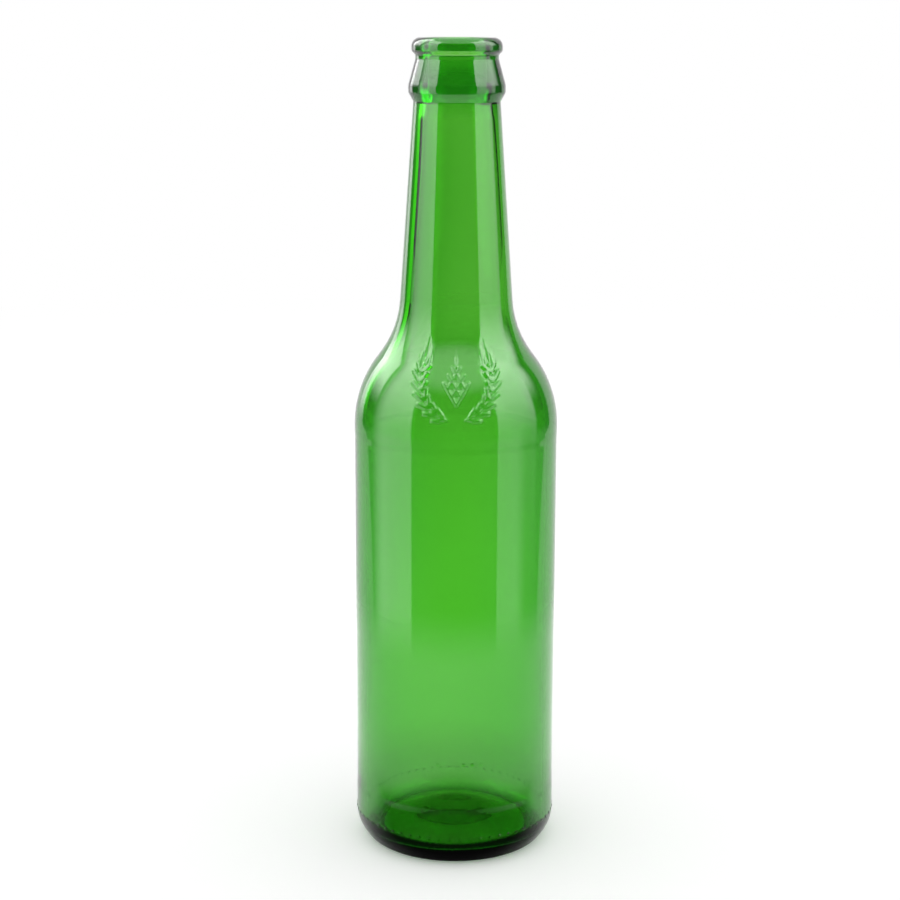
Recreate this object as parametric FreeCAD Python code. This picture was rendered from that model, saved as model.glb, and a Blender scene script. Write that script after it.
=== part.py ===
import FreeCAD, Part

import math
import os

# A long-neck beer bottle of green glass, empty and open, with a crown finish.
# It is one blown piece: a turned shell with a raised hop-and-barley ornament on
# the shoulder, a short row of raised dots low on the front, and a ring of
# stipples round the heel. All sizes are in millimetres. The bottle stands on z = 0
# about the Z axis, and its front, with the ornament, faces -Y.

# Overall
overall_height = 245.0
body_diameter = 61.2

# Foot: a flat ring to stand on, a pushed-up bottom inside it, a round heel outside.
# The heel's corner, before rounding, is a bevel this far in and this far up.
heel_corner_inset = 3.9
heel_corner_height = 5.6
heel_lower_rounding = 4.6
heel_upper_rounding = 9.5
bearing_width = 1.6
bearing_inner_rounding = 0.8
push_up_step_diameter = 43.8
push_up_step_height = 1.8
push_up_step_rounding = 2.0
push_up_height = 4.6
push_up_flat_diameter = 16.0
push_up_rounding = 40.0

# Label panel: a shallow recess between the heel band and the shoulder band
label_bottom = 17.0
label_height = 112.0
label_recess = 0.1
label_step = 1.6
label_step_rounding = 4.0

# Shoulder and neck: where their straight lines would meet, before rounding. The
# shoulder band is from the label panel to the shoulder's corner, and the neck
# takes the height that is left under the finish.
shoulder_band_height = 13.0
shoulder_height = 17.6
neck_root_diameter = 34.8
neck_top_diameter = 25.6
shoulder_rounding = 34.0
neck_root_rounding = 30.0

# Finish: the crown lip, a groove under it, and the flared collar below
finish_height = 18.35
finish_foot_rounding = 0.5
collar_diameter = 28.5
collar_underside_height = 2.6
collar_land_height = 2.15
collar_lower_rounding = 1.6
collar_upper_rounding = 3.0
groove_diameter = 24.4
groove_height = 1.2
groove_rounding = 1.0
lip_diameter = 26.6
lip_height = 5.0
lip_underside_height = 1.1
lip_lower_rounding = 1.2
lip_outer_rounding = 2.6
lip_inner_rounding = 1.6

# Inside: the bore of the mouth, then a cavity that follows the outside
mouth_diameter = 16.8
throat_diameter = 17.6
throat_height = 14.0
throat_rounding = 9.0
bore_transition_height = 9.0
neck_wall = 2.8
shoulder_wall = 3.0
body_wall = 3.2
base_thickness = 4.8
heel_glass_height = 3.0
inner_heel_rounding = 4.0
floor_edge_diameter = 41.0
floor_edge_height = 5.4
floor_edge_rounding = 10.0
floor_flat_diameter = 16.0
floor_rounding = 25.0

# Stipples: a ring of small raised dots round the body, just above the heel's curve
stipple_count = 62
stipple_radius = 0.8
stipple_relief = 0.2
stipple_height = 9.2

# Raised dots low on the front, each the cap of a ball. The row's rise is from the
# bottom of the label panel, and its places are counted in spacings from the front.
dot_radius = 0.9
dot_relief = 0.2
dot_spacing = 2.6
dot_row_rise = 16.0
dot_places = (-2, 1, 2, 3)

# Ornament on the shoulder: two barley ears round a hop cone. Its rise is from the
# shoulder's corner, and its angles are in degrees.
ornament_rise = 5.6
ornament_relief = 0.4
ornament_bed = 0.5
ornament_margin = 2.0
wreath_radius = 10.4
wreath_start_angle = 16.0
wreath_end_angle = 128.0
stem_half_width = 0.3
grain_pairs = 8
grain_length = 2.5
grain_half_width = 0.55
grain_lean = 32.0
grain_stand_off = 0.95
hop_rows = (1, 2, 3, 2, 1)
hop_row_pitch = 2.1
hop_scale_pitch = 2.5
hop_scale_width = 1.9
hop_scale_drop = 1.7
hop_half_width = 0.4
hop_stem_length = 2.2

# Sizes that follow from the ones above
body_radius = body_diameter / 2
label_radius = body_radius - label_recess
label_top = label_bottom + label_height
shoulder_corner_height = label_top + shoulder_band_height
neck_root_height = shoulder_corner_height + shoulder_height
ornament_height = shoulder_corner_height + ornament_rise
dot_row_height = label_bottom + dot_row_rise
heel_corner_radius = body_radius - heel_corner_inset
heel_turn = math.atan2(heel_corner_height, heel_corner_inset)
bearing_outer_radius = heel_corner_radius - heel_lower_rounding * math.tan(heel_turn / 2)
bearing_inner_radius = bearing_outer_radius - bearing_width
finish_base = overall_height - finish_height
lip_base = overall_height - lip_height
groove_base = lip_base - groove_height

# Grams in a cubic centimetre of glass, for the printed mass
GLASS_DENSITY = 2.5

AXIS_START = FreeCAD.Vector(0, 0, 0)
AXIS_UP = FreeCAD.Vector(0, 0, 1)
SMALLEST_FILLET = 1e-3
SEGMENT_SHARE = 0.98


def on_section(point):
    """A point (radius, height) of the half section, drawn behind the axis."""
    return FreeCAD.Vector(0, point[0], point[1])


def phase_between(first, second):
    """The signed angle from one direction to another, both complex numbers."""
    quotient = second / first
    return math.atan2(quotient.imag, quotient.real)


def tangent_lengths(corners):
    """How far each corner's rounding reaches along its two lines. Where two
    roundings would meet on a line, both are shortened to share it."""
    reach = [0.0] * len(corners)
    for i in range(1, len(corners) - 1):
        before, here, after = (complex(*corners[k][:2]) for k in (i - 1, i, i + 1))
        turn = abs(phase_between(here - before, after - here))
        reach[i] = corners[i][2] * math.tan(turn / 2)
    for i in range(len(corners) - 1):
        room = SEGMENT_SHARE * abs(complex(*corners[i + 1][:2]) - complex(*corners[i][:2]))
        wanted = reach[i] + reach[i + 1]
        if wanted > room:
            reach[i] *= room / wanted
            reach[i + 1] *= room / wanted
    return reach


def rounded_edges(corners):
    """Lines through the corners (radius, height, rounding), with tangent arcs."""
    reach = tangent_lengths(corners)
    edges = []
    pen = complex(*corners[0][:2])
    for i in range(1, len(corners) - 1):
        before, here, after = (complex(*corners[k][:2]) for k in (i - 1, i, i + 1))
        way_in = (here - before) / abs(here - before)
        way_out = (after - here) / abs(after - here)
        start = here - way_in * reach[i]
        end = here + way_out * reach[i]
        edges.append(line(pen, start))
        turn = phase_between(way_in, way_out)
        if reach[i] > SMALLEST_FILLET:
            radius = reach[i] / math.tan(abs(turn) / 2)
            to_centre = way_in * complex(0, math.copysign(1, turn))
            centre = start + to_centre * radius
            middle = centre + (here - centre) / abs(here - centre) * radius
            edges.append(arc(start, middle, end))
        pen = end
    edges.append(line(pen, complex(*corners[-1][:2])))
    return edges


def line(start, end):
    ends = [on_section((p.real, p.imag)) for p in (start, end)]
    return Part.LineSegment(*ends).toShape()


def arc(start, middle, end):
    points = [on_section((p.real, p.imag)) for p in (start, middle, end)]
    return Part.Arc(*points).toShape()


def revolve_edges(edges):
    """Turns a closed half section into a solid."""
    face = Part.Face(Part.Wire(Part.__sortEdges__(edges)))
    return face.revolve(AXIS_START, AXIS_UP, 360)


def inset_corner(before, here, after, first_gap, second_gap):
    """Where the two lines that meet at a corner would meet once each is moved
    towards the axis by its own gap."""
    first = (here - before) / abs(here - before)
    second = (after - here) / abs(after - here)
    start = here + first * complex(0, 1) * first_gap
    target = here + second * complex(0, 1) * second_gap
    along = ((target - start) * second.conjugate()).imag / (first * second.conjugate()).imag
    return start + first * along


# The outside corners of the shoulder, which the wall and the relief follow
body_line_start = complex(body_radius, label_top)
shoulder_corner = complex(body_radius, shoulder_corner_height)
neck_root = complex(neck_root_diameter / 2, neck_root_height)
neck_top = complex(neck_top_diameter / 2, finish_base)


def shoulder_corners(body_gap, shoulder_gap, neck_gap):
    """The shoulder corner and the neck root, moved towards the axis by the gaps,
    with the roundings that keep the moved line parallel to the outside."""
    low = inset_corner(body_line_start, shoulder_corner, neck_root, body_gap, shoulder_gap)
    high = inset_corner(shoulder_corner, neck_root, neck_top, shoulder_gap, neck_gap)
    return [
        (low.real, low.imag, shoulder_rounding - shoulder_gap),
        (high.real, high.imag, neck_root_rounding + shoulder_gap),
    ]


def foot_corners():
    """The underside and the heel, from the axis outwards."""
    return [
        (0, push_up_height, 0),
        (push_up_flat_diameter / 2, push_up_height, push_up_rounding),
        (push_up_step_diameter / 2, push_up_step_height, push_up_step_rounding),
        (bearing_inner_radius, 0, bearing_inner_rounding),
        (heel_corner_radius, 0, heel_lower_rounding),
        (body_radius, heel_corner_height, heel_upper_rounding),
    ]


def label_corners():
    """The shallow steps at the two ends of the label panel."""
    return [
        (body_radius, label_bottom, label_step_rounding),
        (label_radius, label_bottom + label_step, label_step_rounding),
        (label_radius, label_top - label_step, label_step_rounding),
        (body_radius, label_top, label_step_rounding),
    ]


def finish_corners():
    """The collar, the groove and the lip, up to the mouth."""
    collar_radius = collar_diameter / 2
    collar_land = finish_base + collar_underside_height
    lip_land = lip_base + lip_underside_height
    return [
        (neck_top_diameter / 2, finish_base, finish_foot_rounding),
        (collar_radius, collar_land, collar_lower_rounding),
        (collar_radius, collar_land + collar_land_height, collar_upper_rounding),
        (groove_diameter / 2, groove_base, groove_rounding),
        (groove_diameter / 2, lip_base, groove_rounding),
        (lip_diameter / 2, lip_land, lip_lower_rounding),
        (lip_diameter / 2, overall_height, lip_outer_rounding),
    ]


def cavity_corners():
    """The inside, from the mouth down to the middle of the floor."""
    throat_base = overall_height - throat_height
    neck_inside_top = throat_base - bore_transition_height
    taper = (neck_root.real - neck_top.real) / (neck_top.imag - neck_root.imag)
    neck_inside_radius = neck_top.real + taper * (neck_top.imag - neck_inside_top) - neck_wall
    low, high = shoulder_corners(body_wall, shoulder_wall, neck_wall)
    return [
        (mouth_diameter / 2, overall_height, lip_inner_rounding),
        (throat_diameter / 2, throat_base, throat_rounding),
        (neck_inside_radius, neck_inside_top, throat_rounding),
        high,
        low,
        (body_radius - body_wall, heel_glass_height, inner_heel_rounding),
        (floor_edge_diameter / 2, floor_edge_height, floor_edge_rounding),
        (floor_flat_diameter / 2, push_up_height + base_thickness, floor_rounding),
        (0, push_up_height + base_thickness, 0),
    ]


def make_shell():
    """The turned bottle, with no relief on it yet."""
    corners = foot_corners() + label_corners() + shoulder_corners(0, 0, 0)
    corners += finish_corners() + cavity_corners()
    edges = rounded_edges(corners)
    edges.append(line(complex(*corners[-1][:2]), complex(*corners[0][:2])))
    return revolve_edges(edges)


def make_cavity():
    """What fills the bottle to the brim, for its capacity."""
    corners = [(0, overall_height, 0)] + cavity_corners()
    edges = rounded_edges(corners)
    edges.append(line(complex(*corners[-1][:2]), complex(*corners[0][:2])))
    return revolve_edges(edges)


def make_stipples():
    """The ring of stipples, each the cap of a ball set into the body."""
    ring_radius = body_radius - stipple_radius + stipple_relief
    stipples = []
    for i in range(stipple_count):
        angle = 2 * math.pi * (i + 0.5) / stipple_count
        centre = FreeCAD.Vector(
            ring_radius * math.sin(angle),
            -ring_radius * math.cos(angle),
            stipple_height,
        )
        sideways = FreeCAD.Vector(math.cos(angle), math.sin(angle), 0)
        stipples.append(Part.makeSphere(stipple_radius, centre, sideways))
    return stipples


def make_dots():
    """The raised dots, in a row on the label panel."""
    depth = label_radius - dot_radius + dot_relief
    dots = []
    for place in dot_places:
        angle = place * dot_spacing / label_radius
        centre = FreeCAD.Vector(
            depth * math.sin(angle),
            -depth * math.cos(angle),
            dot_row_height,
        )
        dots.append(Part.makeSphere(dot_radius, centre))
    return dots


def wreath_point(angle, side, offset=0.0):
    """A point beside an ear's stem. The angle is in degrees from the lowest point
    of the wreath, and a positive offset is outside its circle."""
    turn = math.radians(angle)
    reach = wreath_radius + offset
    return complex(side * reach * math.sin(turn), ornament_height - reach * math.cos(turn))


def grain_strokes():
    """Each grain as (start, end, half width), in pairs up both ears, with one
    more grain at each tip."""
    strokes = []
    step = (wreath_end_angle - wreath_start_angle) / grain_pairs
    for side in (-1, 1):
        for i in range(grain_pairs):
            angle = wreath_start_angle + (i + 0.5) * step
            for edge in (-1, 1):
                root = wreath_point(angle, side, edge * grain_stand_off / 2)
                heading = math.radians(angle) - edge * math.radians(grain_lean)
                way = complex(side * math.cos(heading), math.sin(heading))
                strokes.append((root, root + way * grain_length, grain_half_width))
        tip = wreath_point(wreath_end_angle, side)
        heading = math.radians(wreath_end_angle)
        way = complex(side * math.cos(heading), math.sin(heading))
        strokes.append((tip, tip + way * grain_length, grain_half_width))
    return strokes


def hop_strokes():
    """The hop cone: rows of pointed scales, each a chevron of two strokes, and
    a short stem on top."""
    strokes = []
    top = ornament_height + hop_row_pitch * (len(hop_rows) - 1) / 2
    for row, count in enumerate(hop_rows):
        height = top - row * hop_row_pitch
        for i in range(count):
            middle = (i - (count - 1) / 2) * hop_scale_pitch
            tip = complex(middle, height - hop_scale_drop)
            for side in (-1, 1):
                shoulder = complex(middle + side * hop_scale_width / 2, height)
                strokes.append((shoulder, tip, hop_half_width))
    crown = complex(0, top)
    strokes.append((crown, crown + complex(0, hop_stem_length), hop_half_width))
    return strokes


def stroke_prism(start, end, half_width):
    """A bar with round ends, drawn on the front and run back to the axis."""
    along = (end - start) / abs(end - start)
    side = along * complex(0, half_width)
    cap = along * half_width
    front = -body_diameter

    def place(point):
        return FreeCAD.Vector(point.real, front, point.imag)

    outline = [
        Part.LineSegment(place(start + side), place(end + side)),
        Part.Arc(place(end + side), place(end + cap), place(end - side)),
        Part.LineSegment(place(end - side), place(start - side)),
        Part.Arc(place(start - side), place(start - cap), place(start + side)),
    ]
    face = Part.Face(Part.Wire([piece.toShape() for piece in outline]))
    return face.extrude(FreeCAD.Vector(0, -front, 0))


def stem_prism(side):
    """The curved stem of one ear."""
    ends = []
    for offset in (-stem_half_width, stem_half_width):
        angles = (wreath_start_angle, (wreath_start_angle + wreath_end_angle) / 2, wreath_end_angle)
        points = [wreath_point(angle, side, offset) for angle in angles]
        ends.append([FreeCAD.Vector(p.real, -body_diameter, p.imag) for p in points])
    inner, outer = ends
    outline = [
        Part.Arc(*inner).toShape(),
        Part.LineSegment(inner[-1], outer[-1]).toShape(),
        Part.Arc(*outer).toShape(),
        Part.LineSegment(outer[0], inner[0]).toShape(),
    ]
    face = Part.Face(Part.Wire(Part.__sortEdges__(outline)))
    return face.extrude(FreeCAD.Vector(0, body_diameter, 0))


def make_relief_skin():
    """A thin turned skin from just under the shoulder's surface to the top of the
    relief, over the height of the ornament."""
    reach = wreath_radius + grain_length + grain_half_width + ornament_margin
    bottom = ornament_height - reach
    top = ornament_height + reach
    solids = []
    for gap in (-ornament_relief, ornament_bed):
        corners = shoulder_corners(gap, gap, gap)
        taper = (neck_root.real - neck_top.real) / (neck_top.imag - neck_root.imag)
        top_radius = neck_top.real + taper * (neck_top.imag - top) - gap
        section = [(0, bottom, 0), (body_radius - gap, bottom, 0)] + corners
        section += [(top_radius, top, 0), (0, top, 0)]
        edges = rounded_edges(section)
        edges.append(line(complex(0, top), complex(0, bottom)))
        solids.append(revolve_edges(edges))
    return solids[0].cut(solids[1])


def make_ornament():
    """The raised ornament, as one or more solids rooted in the shoulder."""
    bars = [stroke_prism(*stroke) for stroke in grain_strokes() + hop_strokes()]
    bars += [stem_prism(side) for side in (-1, 1)]
    drawn = bars[0].multiFuse(bars[1:])
    return make_relief_skin().common(drawn).Solids


def make_bottle():
    """The shell with everything that stands proud of it, as one solid."""
    whole = make_shell().multiFuse(make_stipples() + make_dots() + make_ornament())
    return whole.Solids[0]


os.makedirs("parts", exist_ok=True)
bottle = make_bottle()
bottle.exportStep("parts/bottle.step")

glass_volume = bottle.Volume / 1000
print("valid", bottle.isValid(), "faces", len(bottle.Faces))
print("glass %.1f cm3, mass %.1f g" % (glass_volume, glass_volume * GLASS_DENSITY))
print("brimful capacity %.1f ml" % (make_cavity().Volume / 1000))
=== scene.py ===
# %% [markdown]
# # A long-neck beer bottle of green glass
# The bottle is one blown piece of clear green glass, empty and open. Almost all
# of its look comes from light that bends through two thick walls, so the lesson
# is about a closed, smooth glass shell, the colour inside it, and the white
# studio round it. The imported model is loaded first, because every size and
# place has to agree with it.

import math

import bmesh
import bpy
from mathutils import Matrix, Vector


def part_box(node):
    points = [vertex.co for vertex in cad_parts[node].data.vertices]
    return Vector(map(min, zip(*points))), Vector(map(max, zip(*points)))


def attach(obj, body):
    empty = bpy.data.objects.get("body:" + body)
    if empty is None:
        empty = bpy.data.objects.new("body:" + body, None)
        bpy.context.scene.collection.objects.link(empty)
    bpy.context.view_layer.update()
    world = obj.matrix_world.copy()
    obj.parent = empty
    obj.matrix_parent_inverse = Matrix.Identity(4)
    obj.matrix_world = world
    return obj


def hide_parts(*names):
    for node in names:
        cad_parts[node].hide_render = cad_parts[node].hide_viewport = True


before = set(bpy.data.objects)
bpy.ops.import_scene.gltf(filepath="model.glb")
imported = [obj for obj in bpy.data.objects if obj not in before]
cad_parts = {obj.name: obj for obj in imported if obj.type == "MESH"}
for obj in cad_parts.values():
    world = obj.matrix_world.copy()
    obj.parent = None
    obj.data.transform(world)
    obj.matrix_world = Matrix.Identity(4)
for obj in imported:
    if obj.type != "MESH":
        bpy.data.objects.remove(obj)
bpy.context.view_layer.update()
foot_corner, top_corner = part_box("bottle")
print("the packed bottle reaches from", foot_corner, "to", top_corner)

MM = 0.001

# %% [markdown]
# ## The half section
# A turned shape is drawn as half of its section: a line that starts in the
# middle of the underside, goes out over the foot, up the outside, over the lip
# and down the inside to the middle of the floor. Each corner is written as
# radius, height and rounding in millimetres. The corners could be traced as a
# freehand curve, but then the heel, the shoulder and the lip would never be true
# arcs, and glass shows every flat spot. Straight lines with tangent arcs are how
# a mould is drawn, so they are used here.

# %% The outside corners
HEIGHT = 245.0
BODY_RADIUS = 30.6
LABEL_RADIUS = 30.5
NECK_ROOT = (17.4, 159.6)
NECK_TOP = (12.8, 226.65)
SHOULDER_ROUNDING = 34.0
NECK_ROOT_ROUNDING = 30.0

FOOT = [
    (0, 4.6, 0),
    (8.0, 4.6, 40.0),
    (21.9, 1.8, 2.0),
    (22.7, 0, 0.8),
    (26.7, 0, 4.6),
    (BODY_RADIUS, 5.6, 9.5),
]
LABEL_PANEL = [
    (BODY_RADIUS, 17.0, 4.0),
    (LABEL_RADIUS, 18.6, 4.0),
    (LABEL_RADIUS, 127.4, 4.0),
    (BODY_RADIUS, 129.0, 4.0),
]
SHOULDER = [(BODY_RADIUS, 142.0, SHOULDER_ROUNDING), (*NECK_ROOT, NECK_ROOT_ROUNDING)]
FINISH = [
    (*NECK_TOP, 0.5),
    (14.25, 229.25, 1.6),
    (14.25, 231.4, 3.0),
    (12.2, 238.8, 1.0),
    (12.2, 240.0, 1.0),
    (13.3, 241.1, 1.2),
    (13.3, HEIGHT, 2.6),
]
outside_corners = FOOT + LABEL_PANEL + SHOULDER + FINISH
print("outside corners:", len(outside_corners))

# %% [markdown]
# The inside of the shoulder and neck runs beside the outside, at the thickness of
# the wall. Each of its corners is where two outside lines meet after both are
# moved inwards. Complex numbers, with the radius as the real part, make that short.

# %% The inside corners
BODY_WALL = 3.2
SHOULDER_WALL = 3.0
NECK_WALL = 2.8
THROAT = (8.8, 231.0)
NECK_INSIDE_TOP = 222.0
FLOOR_HEIGHT = 9.4


def inset_corner(before, here, after, gap_before, gap_after):
    """Where two lines meet after each is moved towards the axis by its gap."""
    way_in = (here - before) / abs(here - before)
    way_out = (after - here) / abs(after - here)
    start = here + way_in * 1j * gap_before
    end = here + way_out * 1j * gap_after
    gap = end - start
    along = (gap * way_out.conjugate()).imag / (way_in * way_out.conjugate()).imag
    return start + way_in * along


body_end = complex(BODY_RADIUS, LABEL_PANEL[-1][1])
shoulder_corner, neck_root, neck_top = (complex(*c[:2]) for c in SHOULDER + FINISH[:1])
low = inset_corner(body_end, shoulder_corner, neck_root, BODY_WALL, SHOULDER_WALL)
high = inset_corner(shoulder_corner, neck_root, neck_top, SHOULDER_WALL, NECK_WALL)
taper = (neck_root - neck_top).real / (neck_top - neck_root).imag
bore = neck_top.real + taper * (neck_top.imag - NECK_INSIDE_TOP) - NECK_WALL

inside_corners = [
    (8.4, HEIGHT, 1.6),
    (*THROAT, 9.0),
    (bore, NECK_INSIDE_TOP, 9.0),
    (high.real, high.imag, NECK_ROOT_ROUNDING + SHOULDER_WALL),
    (low.real, low.imag, SHOULDER_ROUNDING - SHOULDER_WALL),
    (BODY_RADIUS - BODY_WALL, 3.0, 4.0),
    (20.5, 5.4, 10.0),
    (8.0, FLOOR_HEIGHT, 25.0),
    (0, FLOOR_HEIGHT, 0),
]
section_corners = outside_corners + inside_corners
print("neck bore: %.2f mm radius, inner shoulder corner at %.1f mm" % (bore, low.imag))


# %% [markdown]
# ## Rows of points along the section
# The section becomes a list of rows. A straight wall needs few rows and a small
# rounding needs many. Each straight part also gets a row close to both of its
# ends, so that the shading of the rounding doesn't leak into the flat. The rows
# are closest over the ornament, which is pressed out of the surface later.

# %% Turn the corners into rows
ROW_TURN = math.radians(6.0)
LONGEST_ROW = 7.0
SUPPORT_ROW = 0.35
SMALLEST_ARC = 1e-3
SHARED_ROOM = 0.98
ORNAMENT_ROW = 0.27
ORNAMENT_HEIGHTS = (135.5, 158.0)


def arc_reach(corners):
    """How far each rounding reaches along the two lines of its corner."""
    reach = [0.0] * len(corners)
    for i in range(1, len(corners) - 1):
        before, here, after = (complex(*corners[k][:2]) for k in (i - 1, i, i + 1))
        turn = (after - here) / (here - before)
        reach[i] = corners[i][2] * math.tan(abs(math.atan2(turn.imag, turn.real)) / 2)
    for i in range(len(corners) - 1):
        room = SHARED_ROOM * abs(complex(*corners[i + 1][:2]) - complex(*corners[i][:2]))
        wanted = reach[i] + reach[i + 1]
        if wanted > room:
            reach[i] *= room / wanted
            reach[i + 1] *= room / wanted
    return reach


# %% [markdown]
# Between two corners the pen draws a straight part and then an arc. Each gets as
# many rows as its length and its turn ask for.

# %% Rows of a straight part and of an arc
def row_length(point, outside):
    """The longest row allowed at a point of the section."""
    low, high = ORNAMENT_HEIGHTS
    return ORNAMENT_ROW if outside and low < point.imag < high else LONGEST_ROW


def line_rows(start, end, outside):
    """Points after the start of a straight part, up to its end."""
    length = abs(end - start)
    if length < 1e-6:
        return []
    way = (end - start) / length
    stops = [0.0, length]
    if length > 4 * SUPPORT_ROW:
        stops = [0.0, SUPPORT_ROW, length - SUPPORT_ROW, length]
    rows = []
    for low, high in zip(stops, stops[1:]):
        place = low
        while place < high - 1e-6:
            step = row_length(start + way * place, outside)
            count = math.ceil((high - place) / step)
            place += (high - place) / count
            rows.append(start + way * place)
    return rows


def arc_rows(start, end, corner, outside):
    """Points after the start of a tangent arc, up to its end."""
    way_in = (corner - start) / abs(corner - start)
    turn = (end - corner) / (corner - start)
    angle = math.atan2(turn.imag, turn.real)
    radius = abs(corner - start) / math.tan(abs(angle) / 2)
    centre = start + way_in * complex(0, math.copysign(radius, angle))
    finest = row_length((start + end) / 2, outside)
    by_turn = math.ceil(abs(angle) / ROW_TURN)
    count = max(1, by_turn, math.ceil(abs(angle) * radius / finest))
    spoke = start - centre
    return [centre + spoke * complex(math.cos(angle * k / count), math.sin(angle * k / count))
            for k in range(1, count + 1)]


# %% [markdown]
# The pen now goes round the whole section, and notes the first row inside the
# mouth, because later steps treat the inside differently.

# %% Walk the pen round the section
def section_rows(corners):
    """All rows of the section, and the number of the first one inside the mouth."""
    reach = arc_reach(corners)
    rows = [complex(*corners[0][:2])]
    first_inside = None
    for i in range(1, len(corners)):
        here = complex(*corners[i][:2])
        outside = i < len(outside_corners)
        if not outside and first_inside is None:
            first_inside = len(rows)
        way_in = (here - rows[-1]) / abs(here - rows[-1])
        start = here - way_in * reach[i]
        rows += line_rows(rows[-1], start, outside)
        if reach[i] > SMALLEST_ARC:
            after = complex(*corners[i + 1][:2])
            end = here + (after - here) / abs(after - here) * reach[i]
            rows += arc_rows(start, end, here, outside)
    return rows, first_inside


rows, first_inside_row = section_rows(section_corners)
print("rows:", len(rows), "of which outside:", first_inside_row)

# %% [markdown]
# The rows go into a small mesh of loose points. It isn't shown. Geometry Nodes
# read the section from it, so the section can be edited without touching the
# node tree.

# %% A point mesh that carries the section


def point_mesh(name, points, edges=()):
    """A helper object of points in metres, which is removed at the end."""
    mesh = bpy.data.meshes.new(name)
    mesh.from_pydata(points, list(edges), [])
    helper = bpy.data.objects.new(name, mesh)
    bpy.context.scene.collection.objects.link(helper)
    return helper


section = point_mesh("section_points", [(r.real * MM, 0, r.imag * MM) for r in rows])
print("section points:", len(section.data.vertices))

# %% [markdown]
# ## The ornament's strokes
# On the front of the shoulder is a raised ornament: a hop cone between two ears
# of barley. It could be modelled as separate pieces that overlap the glass, but
# glass inside glass shows its hidden faces. Instead each grain, scale and stem is
# one line, and the surface is pushed out wherever it is near a line. The lines
# are drawn flat, as seen from the front.

# %% Draw the ornament as lines
ORNAMENT_HEIGHT = 147.6
WREATH_RADIUS = 10.4
WREATH_ANGLES = (16.0, 128.0)
GRAIN_PAIRS = 8
GRAIN_LENGTH = 2.5
GRAIN_LEAN = math.radians(32.0)
GRAIN_STAND_OFF = 0.95
HOP_ROWS = (1, 2, 3, 2, 1)
HOP_ROW_PITCH = 2.1
HOP_SCALE_PITCH = 2.5
HOP_SCALE_WIDTH = 1.9
HOP_SCALE_DROP = 1.7
HOP_STEM_LENGTH = 2.2
STEM_BENDS = 24


def wreath_point(angle, side, offset=0.0):
    """A point of an ear, by its angle from the lowest point of the wreath."""
    reach = WREATH_RADIUS + offset
    return complex(side * reach * math.sin(angle), ORNAMENT_HEIGHT - reach * math.cos(angle))


def ear_lines(side):
    """The grains of one ear, in pairs with one more at the tip, and its stem."""
    first, last = (math.radians(a) for a in WREATH_ANGLES)
    step = (last - first) / GRAIN_PAIRS
    grains = []
    for i in range(GRAIN_PAIRS):
        angle = first + (i + 0.5) * step
        for edge in (-1, 1):
            root = wreath_point(angle, side, edge * GRAIN_STAND_OFF / 2)
            heading = angle - edge * GRAIN_LEAN
            way = complex(side * math.cos(heading), math.sin(heading))
            grains.append((root, root + way * GRAIN_LENGTH))
    tip = wreath_point(last, side)
    grains.append((tip, tip + complex(side * math.cos(last), math.sin(last)) * GRAIN_LENGTH))
    bends = [wreath_point(first + (last - first) * k / STEM_BENDS, side)
             for k in range(STEM_BENDS + 1)]
    return grains, list(zip(bends, bends[1:]))


# %% [markdown]
# The hop cone is rows of chevrons, one for each scale. A real cone's scales
# overlap like roof tiles, and from the front their tips are what shows.

# %% The hop cone and the line meshes
def hop_lines():
    """The hop cone: rows of scales, each a chevron, and a short stem on top."""
    lines = []
    top = ORNAMENT_HEIGHT + HOP_ROW_PITCH * (len(HOP_ROWS) - 1) / 2
    for row, count in enumerate(HOP_ROWS):
        height = top - row * HOP_ROW_PITCH
        for i in range(count):
            middle = (i - (count - 1) / 2) * HOP_SCALE_PITCH
            tip = complex(middle, height - HOP_SCALE_DROP)
            for side in (-1, 1):
                lines.append((complex(middle + side * HOP_SCALE_WIDTH / 2, height), tip))
    lines.append((complex(0, top), complex(0, top + HOP_STEM_LENGTH)))
    return lines


def line_mesh(name, lines):
    """A helper object with one edge for each line, in the plane y = 0."""
    points = [(p.real * MM, 0, p.imag * MM) for line in lines for p in line]
    return point_mesh(name, points, [(k, k + 1) for k in range(0, len(points), 2)])


left_grains, left_stem = ear_lines(-1)
right_grains, right_stem = ear_lines(1)
grain_lines = line_mesh("grain_lines", left_grains + right_grains)
hop_scale_lines = line_mesh("hop_scale_lines", hop_lines())
stem_lines = line_mesh("stem_lines", left_stem + right_stem)
print("grains:", len(grain_lines.data.edges), "hop strokes:", len(hop_scale_lines.data.edges))

# %% [markdown]
# ## Where the raised dots go
# A ring of stipples runs round the body just above the heel, and a short row of
# plain dots sits low on the front. Each is the cap of a small ball that is sunk
# into the glass. Only the middles of the balls are listed here.

# %% Place the middles of the balls
BALL_RADIUS = 0.85
BALL_RELIEF = 0.2
STIPPLE_COUNT = 62
STIPPLE_HEIGHT = 9.2
DOT_PLACES = (-2, 1, 2, 3)
DOT_SPACING = 2.6
DOT_HEIGHT = 33.0


def ball_middle(wall_radius, angle, height):
    """The middle of a ball sunk into the wall, by its angle from the front."""
    radius = wall_radius - BALL_RADIUS + BALL_RELIEF
    return (radius * math.sin(angle) * MM, -radius * math.cos(angle) * MM, height * MM)


stipple_angles = [2 * math.pi * (i + 0.5) / STIPPLE_COUNT for i in range(STIPPLE_COUNT)]
ball_middles = [ball_middle(BODY_RADIUS, angle, STIPPLE_HEIGHT) for angle in stipple_angles]
ball_middles += [ball_middle(LABEL_RADIUS, place * DOT_SPACING / LABEL_RADIUS, DOT_HEIGHT)
                 for place in DOT_PLACES]
ball_points = point_mesh("ball_points", ball_middles)
print("raised dots:", len(ball_middles))

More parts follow.
